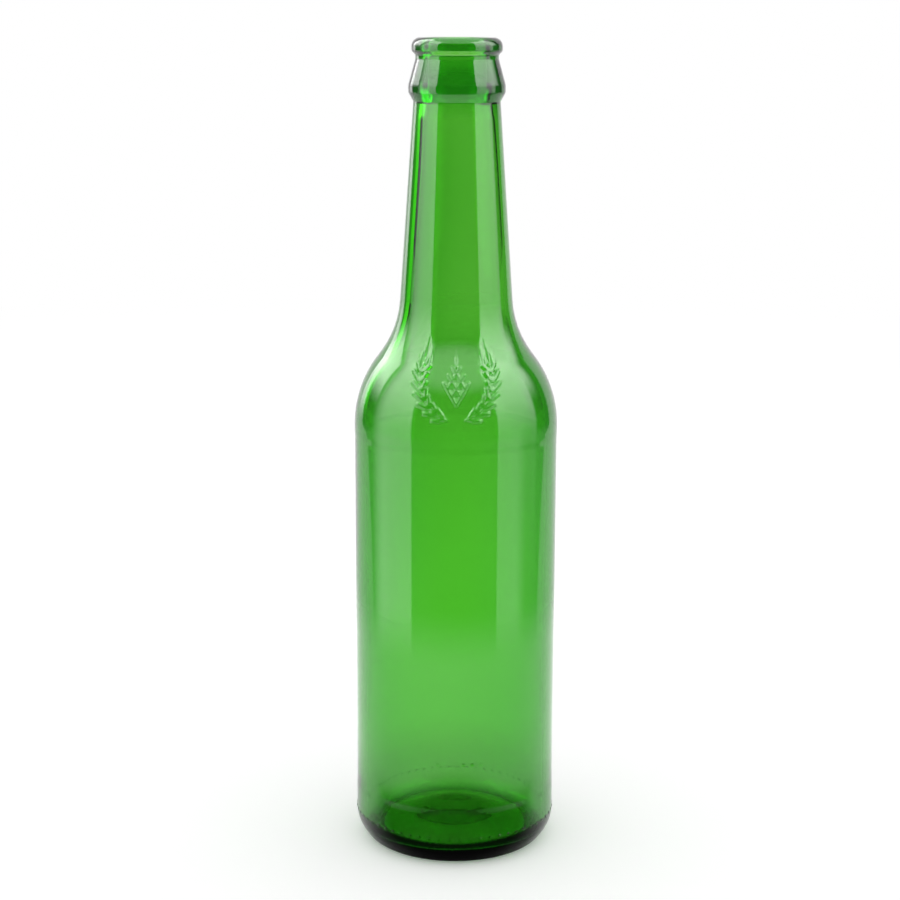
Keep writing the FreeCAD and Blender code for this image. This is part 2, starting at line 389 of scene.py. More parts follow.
# %% [markdown]
# ## The node tree that turns the bottle
# Geometry Nodes suit this piece, because its shape follows a rule: every point is
# a row of the section turned by an angle. The tree starts from a flat grid with
# one line for each row, and moves each point to its place round the axis. The
# columns crowd towards the front, where the ornament needs them. A Screw modifier
# would turn the section too, but it spaces its columns evenly, and an even
# spacing that is fine enough for the ornament is ten times too heavy behind.
#
# Small helpers keep the tree readable: one adds a node, one gives it its inputs,
# one adds a sum, and one adds a soft step from 0 to 1.

# %% Helpers for building node trees


def add_node(tree, kind, label, **settings):
    """A node with its label and its settings."""
    node = tree.nodes.new(kind)
    node.label = label
    for name, value in settings.items():
        setattr(node, name, value)
    return node


def feed(tree, node, *sources):
    """Links or sets a node's inputs in their order. None leaves one as it is."""
    for socket, source in zip(node.inputs, sources):
        if isinstance(source, bpy.types.NodeSocket):
            tree.links.new(source, socket)
        elif source is not None:
            socket.default_value = source
    return node


def calculate(tree, operation, label, *values):
    """A Math node and its result."""
    node = add_node(tree, "ShaderNodeMath", label, operation=operation)
    feed(tree, node, *values)
    return node.outputs[0]


def product(tree, label, first, second):
    """One value times another."""
    return calculate(tree, "MULTIPLY", label, first, second)


def opposite(tree, label, value):
    """1 where the value is 0, and 0 where it is 1."""
    return calculate(tree, "SUBTRACT", label, 1.0, value)


def split(tree, label, vector):
    """A node whose outputs are the x, y and z of a vector."""
    return feed(tree, add_node(tree, "ShaderNodeSeparateXYZ", label), vector)


def soft_step(tree, label, value, low, high, before=0.0, after=1.0):
    """One value before low, another after high, and a smooth way between."""
    step = add_node(tree, "ShaderNodeMapRange", label, interpolation_type="SMOOTHSTEP")
    feed(tree, step, value, low, high, before, after)
    return step.outputs[0]


# %% [markdown]
# The tree is an object of its own with named inputs. Lengths are in metres and
# angles in radians, as everywhere in Blender.

# %% Start the tree and its inputs
FRONT_COLUMN_ANGLE = math.radians(62.0)
turned = bpy.data.node_groups.new("turned_glass_shell", "GeometryNodeTree")
turned.interface.new_socket("Geometry", in_out="INPUT", socket_type="NodeSocketGeometry")
turned.interface.new_socket("Geometry", in_out="OUTPUT", socket_type="NodeSocketGeometry")
TREE_INPUTS = (
    ("Rows", "NodeSocketInt", len(rows)),
    ("Columns", "NodeSocketInt", 256),
    ("First Row Inside", "NodeSocketInt", first_inside_row),
    ("Front Column Angle", "NodeSocketFloat", FRONT_COLUMN_ANGLE),
    ("Relief", "NodeSocketFloat", 0.5 * MM),
    ("Relief Softness", "NodeSocketFloat", 0.16 * MM),
    ("Grain Half Width", "NodeSocketFloat", 0.55 * MM),
    ("Hop Half Width", "NodeSocketFloat", 0.42 * MM),
    ("Stem Half Width", "NodeSocketFloat", 0.3 * MM),
    ("Wall Unevenness", "NodeSocketFloat", 0.25 * MM),
    ("Bore Offset", "NodeSocketFloat", 0.5 * MM),
    ("Ball Radius", "NodeSocketFloat", BALL_RADIUS * MM),
    ("Grain Lines", "NodeSocketObject", grain_lines),
    ("Hop Lines", "NodeSocketObject", hop_scale_lines),
    ("Stem Lines", "NodeSocketObject", stem_lines),
    ("Ball Points", "NodeSocketObject", ball_points),
    ("Glass", "NodeSocketMaterial", None),
)
socket_ids = {}
for socket_name, kind, value in TREE_INPUTS:
    socket = turned.interface.new_socket(socket_name, in_out="INPUT", socket_type=kind)
    socket_ids[socket_name] = socket.identifier
tree_in = add_node(turned, "NodeGroupInput", "sizes")
tree_out = add_node(turned, "NodeGroupOutput", "bottle")
print("tree inputs:", ", ".join(socket_ids))

# %% [markdown]
# The grid runs from -1 to 1 across, for the angle, and has one unit of height for
# each row, so a point's own place says which row it belongs to.

# %% From grid to turned shape
CROWDING = 5.0

size = tree_in.outputs
last_row = calculate(turned, "SUBTRACT", "last row", size["Rows"], 1.0)
columns = calculate(turned, "ADD", "lines of columns", size["Columns"], 1.0)
grid = feed(
    turned, add_node(turned, "GeometryNodeMeshGrid", "flat grid"),
    2.0, last_row, columns, size["Rows"],
)
flat_place = add_node(turned, "GeometryNodeInputPosition", "place on the grid")
across = split(turned, "across and up", flat_place.outputs[0])
half_height = calculate(turned, "DIVIDE", "half height", last_row, 2.0)
row_up = calculate(turned, "ADD", "row from the bottom", across.outputs[1], half_height)
row = calculate(turned, "ROUND", "row", row_up)
print("nodes so far:", len(turned.nodes))

# %% [markdown]
# The angle grows evenly near the front and ever faster towards the back. The
# fifth power does that: it stays close to nothing over the ornament, and brings
# the last columns round to meet at the back.

# %% Crowd the columns towards the front
share = calculate(turned, "ABSOLUTE", "share of the way to the back", across.outputs[0])
even = product(turned, "even part", share, size["Front Column Angle"])
rest = calculate(turned, "SUBTRACT", "angle that is left", math.pi, size["Front Column Angle"])
crowd = calculate(turned, "POWER", "crowding", share, CROWDING)
wide = product(turned, "crowded part", rest, crowd)
turn = calculate(turned, "ADD", "angle from the front", even, wide)
side = calculate(turned, "SIGN", "side", across.outputs[0])
angle = product(turned, "signed angle", turn, side)
print("nodes so far:", len(turned.nodes))

# %% [markdown]
# Each point now looks up its row's radius and height, and goes to its angle at
# that radius. A mark called inside is stored on the way, for the steps that
# treat the two sides of the glass differently.

# %% Put each point in its place
JOIN_DISTANCE = 0.002 * MM

from_section = add_node(turned, "GeometryNodeSampleIndex", "point of the section",
                        data_type="FLOAT_VECTOR", domain="POINT")
section_place = add_node(turned, "GeometryNodeInputPosition", "place in the section")
feed(turned, from_section, size["Geometry"], section_place.outputs[0], row)
radius_and_height = split(turned, "radius and height", from_section.outputs[0])
sine = calculate(turned, "SINE", "sine", angle)
cosine = calculate(turned, "COSINE", "cosine", angle)
to_right = product(turned, "to the right", radius_and_height.outputs[0], sine)
to_back = product(turned, "to the back", radius_and_height.outputs[0], cosine)
to_front = product(turned, "to the front", to_back, -1.0)
turned_place = add_node(turned, "ShaderNodeCombineXYZ", "turned place")
feed(turned, turned_place, to_right, to_front, radius_and_height.outputs[2])

is_inside = add_node(turned, "FunctionNodeCompare", "inside?",
                     data_type="FLOAT", operation="GREATER_EQUAL")
feed(turned, is_inside, row, size["First Row Inside"])
marked = add_node(turned, "GeometryNodeStoreNamedAttribute", "mark the inside",
                  data_type="FLOAT", domain="POINT")
feed(turned, marked, grid.outputs[0], True, "inside", is_inside.outputs[0])
placed = add_node(turned, "GeometryNodeSetPosition", "turn the section")
feed(turned, placed, marked.outputs[0], None, turned_place.outputs[0])
closed = add_node(turned, "GeometryNodeMergeByDistance", "close the seam and the poles")
feed(turned, closed, placed.outputs[0], None, JOIN_DISTANCE)
print("nodes so far:", len(turned.nodes))

# %% [markdown]
# ## Raising the ornament
# For each kind of line, Geometry Proximity gives the distance from a point of the
# surface, laid flat, to the nearest line. A smooth step turns that distance into
# a height with soft flanks, because a glass mould never leaves a sharp edge. The
# highest of the three wins, and only the outside of the front half moves.

# %% Push the ornament out of the surface


def raised_by(lines, half_width, label):
    """The height that one kind of line gives to the surface."""
    drawn = add_node(turned, "GeometryNodeObjectInfo", label)
    feed(turned, drawn, lines)
    near = add_node(turned, "GeometryNodeProximity", "distance to " + label,
                    target_element="EDGES")
    turned.links.new(drawn.outputs["Geometry"], near.inputs[0])
    turned.links.new(flat_front.outputs[0], near.inputs["Sample Position"])
    inner = calculate(turned, "SUBTRACT", "top edge", half_width, size["Relief Softness"])
    outer = calculate(turned, "ADD", "foot edge", half_width, size["Relief Softness"])
    away = near.outputs["Distance"]
    return soft_step(turned, "soft flank", away, inner, outer, size["Relief"], 0.0)


surface_place = add_node(turned, "GeometryNodeInputPosition", "place on the surface")
surface_xyz = split(turned, "x, y, z", surface_place.outputs[0])
flat_front = add_node(turned, "ShaderNodeCombineXYZ", "laid flat")
feed(turned, flat_front, surface_xyz.outputs[0], 0.0, surface_xyz.outputs[2])
grain_height = raised_by(size["Grain Lines"], size["Grain Half Width"], "grains")
hop_height = raised_by(size["Hop Lines"], size["Hop Half Width"], "hop scales")
stem_height = raised_by(size["Stem Lines"], size["Stem Half Width"], "stems")
highest = calculate(turned, "MAXIMUM", "grain or hop", grain_height, hop_height)
highest = calculate(turned, "MAXIMUM", "highest", highest, stem_height)
print("nodes so far:", len(turned.nodes))

# %% [markdown]
# The height is only given to the outside of the front half. There the surface
# moves along its own outward direction.

# %% Raise the front of the outside
inside_mark = add_node(turned, "GeometryNodeInputNamedAttribute", "inside", data_type="FLOAT")
feed(turned, inside_mark, "inside")
inside_value = inside_mark.outputs[0]
outside_value = opposite(turned, "outside", inside_value)
in_front = calculate(turned, "LESS_THAN", "front half", surface_xyz.outputs[1], 0.0)
allowed = product(turned, "outside of the front", outside_value, in_front)
lift = product(turned, "relief here", highest, allowed)
outward = add_node(turned, "GeometryNodeInputNormal", "outward")
lift_vector = add_node(turned, "ShaderNodeVectorMath", "push", operation="SCALE")
turned.links.new(outward.outputs[0], lift_vector.inputs[0])
turned.links.new(lift, lift_vector.inputs["Scale"])
raised = add_node(turned, "GeometryNodeSetPosition", "raise the ornament")
feed(turned, raised, closed.outputs[0], None, None, lift_vector.outputs[0])
print("nodes so far:", len(turned.nodes))

# %% [markdown]
# ## An uneven wall
# The outside of a bottle is pressed against the mould, but its inside is blown by
# air, so the wall is never even. That is what makes the edges of the light bands
# waver. A slow noise moves the inside in and out by a fraction of a millimetre,
# and the bore of the neck sits a little to one side. Both fade out at the mouth,
# where a tool forms the bore.

# %% Waves in the inside wall
WAVE_SCALE = 32.0
WAVE_STRETCH = (1.0, 1.0, 0.55)
MOUTH_FADE = (0.205, 0.236)
NECK_FADE = (0.140, 0.175)

noise = add_node(turned, "ShaderNodeTexNoise", "slow waves", noise_dimensions="3D")
stretch = add_node(turned, "ShaderNodeVectorMath", "longer up and down", operation="MULTIPLY")
feed(turned, stretch, surface_place.outputs[0], WAVE_STRETCH)
turned.links.new(stretch.outputs[0], noise.inputs["Vector"])
noise.inputs["Scale"].default_value = WAVE_SCALE
noise.inputs["Detail"].default_value = 0.0
centred = calculate(turned, "SUBTRACT", "in and out", noise.outputs[0], 0.5)
wave = product(turned, "wave height", centred, size["Wall Unevenness"])
wave = product(turned, "both ways", wave, 2.0)
below_mouth = soft_step(turned, "fade at the mouth", surface_xyz.outputs[2],
                        *MOUTH_FADE, 1.0, 0.0)
soft_wave = product(turned, "wave below the mouth", wave, below_mouth)
inner_wave = product(turned, "wave inside", soft_wave, inside_value)
wave_vector = add_node(turned, "ShaderNodeVectorMath", "wave push", operation="SCALE")
turned.links.new(outward.outputs[0], wave_vector.inputs[0])
turned.links.new(inner_wave, wave_vector.inputs["Scale"])
print("nodes so far:", len(turned.nodes))

# %% [markdown]
# The bore's offset is a plain push to one side. It comes in softly over the
# shoulder, so the body's inside stays centred. Both pushes are then added, and
# the inside moves once.

# %% Shift the neck's bore
in_neck = soft_step(turned, "in the neck", surface_xyz.outputs[2], *NECK_FADE)
shift = product(turned, "bore offset here", in_neck, size["Bore Offset"])
shift = product(turned, "offset below the mouth", shift, below_mouth)
shift = product(turned, "offset inside", shift, inside_value)
shift_vector = add_node(turned, "ShaderNodeCombineXYZ", "sideways")
feed(turned, shift_vector, shift)
moved = add_node(turned, "ShaderNodeVectorMath", "wave and offset", operation="ADD")
feed(turned, moved, wave_vector.outputs[0], shift_vector.outputs[0])
uneven = add_node(turned, "GeometryNodeSetPosition", "uneven inside")
feed(turned, uneven, raised.outputs[0], None, None, moved.outputs[0])
print("nodes so far:", len(turned.nodes))

# %% [markdown]
# ## Joining the dots
# The balls are instances of one small sphere. They are joined to the shell by a
# union, which removes the parts that are sunk in the glass and leaves one closed
# skin. Edges that turn sharply stay sharp and all others are shaded smooth.

# %% Join the balls to the shell
BALL_ROUNDS = 3
SHARP_ANGLE = math.radians(50.0)

ball_info = add_node(turned, "GeometryNodeObjectInfo", "ball middles")
feed(turned, ball_info, size["Ball Points"])
ball = add_node(turned, "GeometryNodeMeshIcoSphere", "ball")
feed(turned, ball, size["Ball Radius"], BALL_ROUNDS)
balls = add_node(turned, "GeometryNodeInstanceOnPoints", "a ball at each middle")
turned.links.new(ball_info.outputs["Geometry"], balls.inputs["Points"])
turned.links.new(ball.outputs[0], balls.inputs["Instance"])
real_balls = feed(
    turned, add_node(turned, "GeometryNodeRealizeInstances", "real balls"),
    balls.outputs[0],
)
union = add_node(turned, "GeometryNodeMeshBoolean", "one skin", operation="UNION", solver="EXACT")
turned.links.new(uneven.outputs[0], union.inputs["Mesh 2"])
turned.links.new(real_balls.outputs[0], union.inputs["Mesh 2"])
print("nodes so far:", len(turned.nodes))

# %% [markdown]
# A union leaves a real crease where a ball meets the wall, and Blender can name
# those edges, so they are kept sharp by name as well as by angle.

# %% Shade and finish the tree
smooth_faces = add_node(turned, "GeometryNodeSetShadeSmooth", "smooth faces", domain="FACE")
feed(turned, smooth_faces, union.outputs[0], None, True)
edge_angle = add_node(turned, "GeometryNodeInputMeshEdgeAngle", "edge angle")
is_soft = add_node(turned, "FunctionNodeCompare", "turns little",
                   data_type="FLOAT", operation="LESS_THAN")
feed(turned, is_soft, edge_angle.outputs[0], SHARP_ANGLE)
no_joint = add_node(turned, "FunctionNodeBooleanMath", "not a joint", operation="NOT")
turned.links.new(union.outputs["Intersecting Edges"], no_joint.inputs[0])
stays_soft = add_node(turned, "FunctionNodeBooleanMath", "little turn and no joint",
                      operation="AND")
feed(turned, stays_soft, is_soft.outputs[0], no_joint.outputs[0])
smooth_edges = add_node(turned, "GeometryNodeSetShadeSmooth", "sharp edges stay", domain="EDGE")
feed(turned, smooth_edges, smooth_faces.outputs[0], None, stays_soft.outputs[0])
real = feed(
    turned, add_node(turned, "GeometryNodeRealizeInstances", "all real"),
    smooth_edges.outputs[0],
)
dressed = add_node(turned, "GeometryNodeSetMaterial", "glass")
feed(turned, dressed, real.outputs[0], None, size["Glass"])
turned.links.new(dressed.outputs[0], tree_out.inputs[0])
print("nodes in the tree:", len(turned.nodes))

# %% [markdown]
# ## Green glass
# Glass gets its colour inside, not on its surface: the longer light travels in
# it, the greener and darker it gets. So the surface is a clear Principled shader
# with full transmission, and the green is a Volume Absorption. A green surface
# colour would tint thick and thin places alike, and the heavy foot would look
# like the thin neck. The index of refraction is that of common bottle glass.

# %% The glass material
GLASS_IOR = 1.52
ABSORPTION_COLOUR = (0.37, 0.79, 0.10, 1.0)
ABSORPTION_DENSITY = 755.0

green_glass = bpy.data.materials.new("clear_green_glass")
green_glass.use_nodes = True
glass_tree = green_glass.node_tree
glass_out = glass_tree.nodes["Material Output"]
glass_shader = glass_tree.nodes["Principled BSDF"]
glass_shader.inputs["Base Color"].default_value = (1.0, 1.0, 1.0, 1.0)
glass_shader.inputs["Transmission Weight"].default_value = 1.0
glass_shader.inputs["IOR"].default_value = GLASS_IOR
glass_shader.inputs["Roughness"].default_value = 0.0
glass_colour = add_node(glass_tree, "ShaderNodeVolumeAbsorption", "green inside the glass")
glass_colour.inputs["Color"].default_value = ABSORPTION_COLOUR
glass_colour.inputs["Density"].default_value = ABSORPTION_DENSITY
glass_tree.links.new(glass_colour.outputs[0], glass_out.inputs["Volume"])
print("glass: index", GLASS_IOR, "density", ABSORPTION_DENSITY)

# %% [markdown]
# Real bottle glass isn't perfect, and the flaws are what the eye trusts. The
# outside has a faint ripple from the mould, and a seam where the two halves of the
# mould met, at the left and right of the bottle. The ring it stands on is scuffed.
# The ripple and the seam are far too fine for the mesh, so they are bumps. The
# scuffs are a little roughness in small patches.

# %% Sizes of the flaws
RIPPLE_SCALE = 70.0
RIPPLE_HEIGHT = 0.012 * MM
SEAM_WIDTH = (0.05 * MM, 0.16 * MM)
SEAM_HEIGHT = 0.03 * MM
SCUFF_HEIGHT = (0.4 * MM, 1.2 * MM)
SCUFF_SCALE = 900.0
SCUFF_PATCHES = (0.45, 0.65)
SCUFF_ROUGHNESS = 0.35

glass_place = add_node(glass_tree, "ShaderNodeTexCoord", "place on the bottle").outputs["Object"]
glass_xyz = split(glass_tree, "x, y, z", glass_place)
inside_mark = add_node(glass_tree, "ShaderNodeAttribute", "inside", attribute_name="inside")
inside_part = inside_mark.outputs["Fac"]
outside_part = opposite(glass_tree, "outside", inside_part)
print("ripple %.3f mm, seam %.2f mm" % (RIPPLE_HEIGHT / MM, SEAM_HEIGHT / MM))

# %% [markdown]
# The ripple is a slow noise over the whole skin. The seam is a line in the plane
# between the two halves of the mould, and only on the outside.

# %% Ripple and seam
ripple = add_node(glass_tree, "ShaderNodeTexNoise", "ripple")
glass_tree.links.new(glass_place, ripple.inputs["Vector"])
ripple.inputs["Scale"].default_value = RIPPLE_SCALE
ripple.inputs["Detail"].default_value = 1.0
ripple_height = product(glass_tree, "ripple height",
                          ripple.outputs[0], RIPPLE_HEIGHT)

off_seam = calculate(glass_tree, "ABSOLUTE", "distance from the seam", glass_xyz.outputs[1])
beside_seam = soft_step(glass_tree, "beside the seam", off_seam, *SEAM_WIDTH)
on_seam = opposite(glass_tree, "on the seam", beside_seam)
on_seam = product(glass_tree, "on the seam outside", on_seam, outside_part)
height = calculate(glass_tree, "MULTIPLY_ADD", "seam and ripple",
                   on_seam, SEAM_HEIGHT, ripple_height)
bump = add_node(glass_tree, "ShaderNodeBump", "fine relief")
bump.inputs["Distance"].default_value = 1.0
glass_tree.links.new(height, bump.inputs["Height"])
glass_tree.links.new(bump.outputs[0], glass_shader.inputs["Normal"])
print("nodes in the glass so far:", len(glass_tree.nodes))

# %% [markdown]
# A bottle is slid over tables and crates, so only its lowest millimetre is worn.
# Small patches of a fine noise are rough there, and the rest stays clear.

# %% Scuffs on the standing ring
speckle = add_node(glass_tree, "ShaderNodeTexNoise", "small patches")
glass_tree.links.new(glass_place, speckle.inputs["Vector"])
speckle.inputs["Scale"].default_value = SCUFF_SCALE
patches = soft_step(glass_tree, "scuffed patches", speckle.outputs[0], *SCUFF_PATCHES)
above_ring = soft_step(glass_tree, "above the standing ring", glass_xyz.outputs[2], *SCUFF_HEIGHT)
on_ring = opposite(glass_tree, "on the standing ring", above_ring)
scuffed = product(glass_tree, "scuffs", patches, on_ring)
scuffed = product(glass_tree, "roughness", scuffed, SCUFF_ROUGHNESS)
glass_tree.links.new(scuffed, glass_shader.inputs["Roughness"])
print("nodes in the glass:", len(glass_tree.nodes))

# %% [markdown]
# ## From nodes to a plain mesh
# The tree is put on the section object. Its inputs are set by their identifiers
# before it is first evaluated. The result is copied to a plain mesh, and the
# helpers are removed.

# %% Turn the bottle
turner = section.modifiers.new("turn", "NODES")
turner.node_group = turned
for socket_name, kind, value in TREE_INPUTS:
    turner[socket_ids[socket_name]] = green_glass if socket_name == "Glass" else value
evaluated = section.evaluated_get(bpy.context.evaluated_depsgraph_get())
bottle_mesh = bpy.data.meshes.new_from_object(evaluated)
bottle_mesh.name = "bottle_glass"
section.modifiers.remove(turner)
bottle = bpy.data.objects.new("bottle_glass", bottle_mesh)
bpy.context.scene.collection.objects.link(bottle)
for helper in (section, grain_lines, hop_scale_lines, stem_lines, ball_points):
    bpy.data.objects.remove(helper, do_unlink=True)
print("points in the bottle's mesh:", len(bottle_mesh.vertices))

# %% [markdown]
# Glass only renders rightly when its skin is closed and faces outwards, so both
# are measured: the edges with anything but two faces are counted, and the volume
# is printed, which comes out positive when the faces point outwards.

# %% Measure the glass
GRAMS_PER_CUBIC_METRE = 2.5e6

measured = bmesh.new()
measured.from_mesh(bottle_mesh)
open_edges = [edge for edge in measured.edges if len(edge.link_faces) != 2]
volume = measured.calc_volume(signed=True)
triangles = sum(len(face.verts) - 2 for face in measured.faces)
measured.free()
print("open edges:", len(open_edges), "triangles:", triangles)
print("glass: %.1f cm3, %.0f g" % (volume * 1e6, volume * GRAMS_PER_CUBIC_METRE))

# %% [markdown]
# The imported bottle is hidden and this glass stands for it. It rides the one body
# there is.

# %% Hand the bottle to the frame
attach(bottle, "root")
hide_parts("bottle")
print("handed over:", bottle.name)

# %% [markdown]
# ## The camera
# A long lens from a little over half a metre keeps the bottle's sides nearly
# parallel. The camera stands at the height of the mouth and looks down by twelve
# degrees, so the lip is seen edge on and the foot as a shallow curve.

# %% Place the camera
CAMERA_DISTANCE = 0.5884
CAMERA_HEIGHT = 0.2505
CAMERA_SIDE = -0.00175
LOOK_DOWN = math.radians(12.28)
CAMERA_ROLL = math.radians(0.16)
LENS = 79.43

camera_data = bpy.data.cameras.new("camera")
camera_data.sensor_width = 36.0
camera_data.lens = LENS
camera = bpy.data.objects.new("camera", camera_data)
bpy.context.scene.collection.objects.link(camera)
camera.matrix_world = (
    Matrix.Translation((CAMERA_SIDE, -CAMERA_DISTANCE, CAMERA_HEIGHT))
    @ Matrix.Rotation(math.pi / 2 - LOOK_DOWN, 4, "X")
    @ Matrix.Rotation(CAMERA_ROLL, 4, "Z")
)
bpy.context.scene.camera = camera
print("camera: %.1f mm lens, %.3f m away" % (LENS, CAMERA_DISTANCE))

# %% [markdown]
# ## The studio
# Clear glass shows the room more than itself, so the room is part of the picture.
# The eye sees plain white all round. The glass sees more: a white sheet behind the
# bottle that ends at both sides, a ceiling, tall soft lamps to the left and right,
# and a white table with an edge. The ends of the sheet give the thin dark lines
# beside the neck, and the lamps give the pale upright bands.
#
# One plain white room would be simpler, but glass in it shows hardly any lines or
# bands. So each part below asks which kind of ray is looking, and only rays that
# the glass reflects or lets through see the extras. The values were found by trial.

# %% A helper for kinds of ray


def light_path_sum(tree, *names):
    """1 for the named kinds of ray and 0 for all others."""
    path = add_node(tree, "ShaderNodeLightPath", "kind of ray")
    total = path.outputs[names[0]]
    for name in names[1:]:
        total = calculate(tree, "MAXIMUM", "either", total, path.outputs[name])
    return total


# %% [markdown]
# The table is matt and nearly white, and it takes the bottle's soft shadow. A
# little glow, which only the eye and the glass see, lifts its white to that of
# the background. The glass also sees a painted pool of light on the table a little
# way from the bottle, which keeps the foot dark and the wall above it light.

# %% The table
TABLE_WHITE = 0.9
TABLE_GLOW = 0.18
PAINTED_POOL_LEVEL = 0.32
PAINTED_POOL_REACH = (0.05, 0.11, 0.15, 0.90)
TABLE_HALF = 3.0
TABLE_DROP = 0.02 * MM

floor_mesh = bpy.data.meshes.new("table_top")
table_corners = [(x * TABLE_HALF, y * TABLE_HALF, -TABLE_DROP)
                 for x, y in ((-1, -1), (1, -1), (1, 1), (-1, 1))]
floor_mesh.from_pydata(table_corners, [], [(0, 1, 2, 3)])
floor = bpy.data.objects.new("table_top", floor_mesh)
bpy.context.scene.collection.objects.link(floor)
floor_paint = bpy.data.materials.new("white_table")
floor_paint.use_nodes = True
paint_tree = floor_paint.node_tree
floor_shader = paint_tree.nodes["Principled BSDF"]
floor_shader.inputs["Base Color"].default_value = (TABLE_WHITE, TABLE_WHITE, TABLE_WHITE, 1.0)
floor_shader.inputs["Roughness"].default_value = 1.0
floor_shader.inputs["Specular IOR Level"].default_value = 0.0
print("table:", floor.name, "white", TABLE_WHITE)

# %% [markdown]
# A glow isn't light on the table. It is added to what the eye and the glass see of
# it, so the shadow stays and only the white is lifted. Round the bottle the glass
# sees more of it, as a painted pool of light.

# %% The table's glow
glow = add_node(paint_tree, "ShaderNodeEmission", "glow that is seen")
seen = light_path_sum(paint_tree, "Is Camera Ray", "Is Glossy Ray", "Is Transmission Ray")
place_on_table = add_node(paint_tree, "ShaderNodeTexCoord", "place on the table")
way_out = add_node(paint_tree, "ShaderNodeVectorMath", "distance from the bottle",
                   operation="LENGTH")
paint_tree.links.new(place_on_table.outputs["Object"], way_out.inputs[0])
is_camera_ray = light_path_sum(paint_tree, "Is Camera Ray")
by_glass = calculate(paint_tree, "SUBTRACT", "by way of the glass", seen, is_camera_ray)
# Painted pool of light: seen through the glass, a ring of the table round the bottle glows
# brighter.
beside = soft_step(paint_tree, "beside the bottle", way_out.outputs["Value"], *PAINTED_POOL_REACH[:2])
far_from = soft_step(paint_tree, "far from the bottle", way_out.outputs["Value"],
                     *PAINTED_POOL_REACH[2:])
painted_pool_ring = calculate(paint_tree, "SUBTRACT", "round the bottle", beside, far_from)
painted_pool_of_light = product(paint_tree, "close and by way of the glass", by_glass, painted_pool_ring)
glow_level = product(paint_tree, "glow level", seen, TABLE_GLOW)
glow_level = calculate(paint_tree, "MULTIPLY_ADD", "glow and extra glow",
                       painted_pool_of_light, PAINTED_POOL_LEVEL, glow_level)
paint_tree.links.new(glow_level, glow.inputs["Strength"])
lit = add_node(paint_tree, "ShaderNodeAddShader", "table and glow")
paint_tree.links.new(floor_shader.outputs[0], lit.inputs[0])
paint_tree.links.new(glow.outputs[0], lit.inputs[1])
print("nodes in the table's paint so far:", len(paint_tree.nodes))

# %% [markdown]
# In a mirror the table ends softly about a quarter of a metre away, so that the
# lower half of the lamps shows in the glass as well. Past that edge a reflected
# ray meets open air.

# %% The table's edge in a mirror
TABLE_EDGE = (0.21, 0.30)

past_edge = soft_step(paint_tree, "past the edge", way_out.outputs["Value"], *TABLE_EDGE)
seen_through = light_path_sum(paint_tree, "Is Camera Ray", "Is Transmission Ray")
not_seen_through = opposite(paint_tree, "not seen directly", seen_through)
mirror_only = light_path_sum(paint_tree, "Is Glossy Ray")
mirror_only = product(paint_tree, "mirror ray", mirror_only, not_seen_through)
gone = product(paint_tree, "gone to mirror rays", past_edge, mirror_only)
open_air = add_node(paint_tree, "ShaderNodeBsdfTransparent", "open air")
print("nodes in the table's paint so far:", len(paint_tree.nodes))

# %% [markdown]
# Low on the body of such a bottle there is a dark dome. A dim oval on the table in
# front of the bottle gives it, so in a mirror the table is darker there. It is
# chosen for the look and isn't a measured shadow.

# %% The dim table in front of the bottle
TABLE_NEAR = (0.085, 0.120)
NEAR_WIDTH = 0.75
NEAR_SIDE = (-0.03, 0.0)

oval = add_node(paint_tree, "ShaderNodeVectorMath", "oval round the bottle", operation="MULTIPLY")
feed(paint_tree, oval, place_on_table.outputs["Object"], (1.0 / NEAR_WIDTH, 1.0, 1.0))
oval_way = add_node(paint_tree, "ShaderNodeVectorMath", "distance in the oval", operation="LENGTH")
paint_tree.links.new(oval.outputs[0], oval_way.inputs[0])
table_xyz = split(paint_tree, "x, y", place_on_table.outputs["Object"])
far_enough = soft_step(paint_tree, "out of the bottle's shade", oval_way.outputs["Value"],
                       *TABLE_NEAR)
backward = soft_step(paint_tree, "towards the back", table_xyz.outputs[1], *NEAR_SIDE)
shade = calculate(paint_tree, "MAXIMUM", "far or behind", far_enough, backward)
shade = opposite(paint_tree, "shade", shade)
shade = product(paint_tree, "shade for mirror rays", shade, mirror_only)
print("nodes in the table's paint so far:", len(paint_tree.nodes))

# %% [markdown]
# The heel has a black band. A narrow ring of shade round the foot, seen through
# the glass only, gives it, as little light gets in under a heel.

# %% The shade of the foot
FOOT_SHADE = (0.0225, 0.0245, 0.034, 0.048)
SHADE_SIDE = (-0.004, 0.014)
TABLE_DIM = 0.03

outside_ring = soft_step(paint_tree, "outside the foot ring", way_out.outputs["Value"],
                         *FOOT_SHADE[:2])
off_shade = soft_step(paint_tree, "past the foot's shade", way_out.outputs["Value"],
                      *FOOT_SHADE[2:])
foot_shade = calculate(paint_tree, "SUBTRACT", "shade of the foot", outside_ring, off_shade)
behind = soft_step(paint_tree, "behind the middle", table_xyz.outputs[1], *SHADE_SIDE)
in_front = opposite(paint_tree, "in front", behind)
foot_shade = product(paint_tree, "shade in front", foot_shade, in_front)
through = light_path_sum(paint_tree, "Is Transmission Ray")
foot_shade = product(paint_tree, "shade seen through glass", foot_shade, through)
shade = calculate(paint_tree, "MAXIMUM", "either shade", shade, foot_shade)
dim_table = add_node(paint_tree, "ShaderNodeEmission", "shade of the bottle")
dim_table.inputs["Strength"].default_value = TABLE_DIM
shaded = add_node(paint_tree, "ShaderNodeMixShader", "table or its shade")
feed(paint_tree, shaded, shade, lit.outputs[0], dim_table.outputs[0])
print("nodes in the table's paint so far:", len(paint_tree.nodes))

# %% [markdown]
# Far off, the table is plain white to the eye and through the glass, so that no
# horizon line crosses the bottle. The layers are then put together.

# %% The far table, and all its layers
TABLE_FAR = (0.5, 1.2)

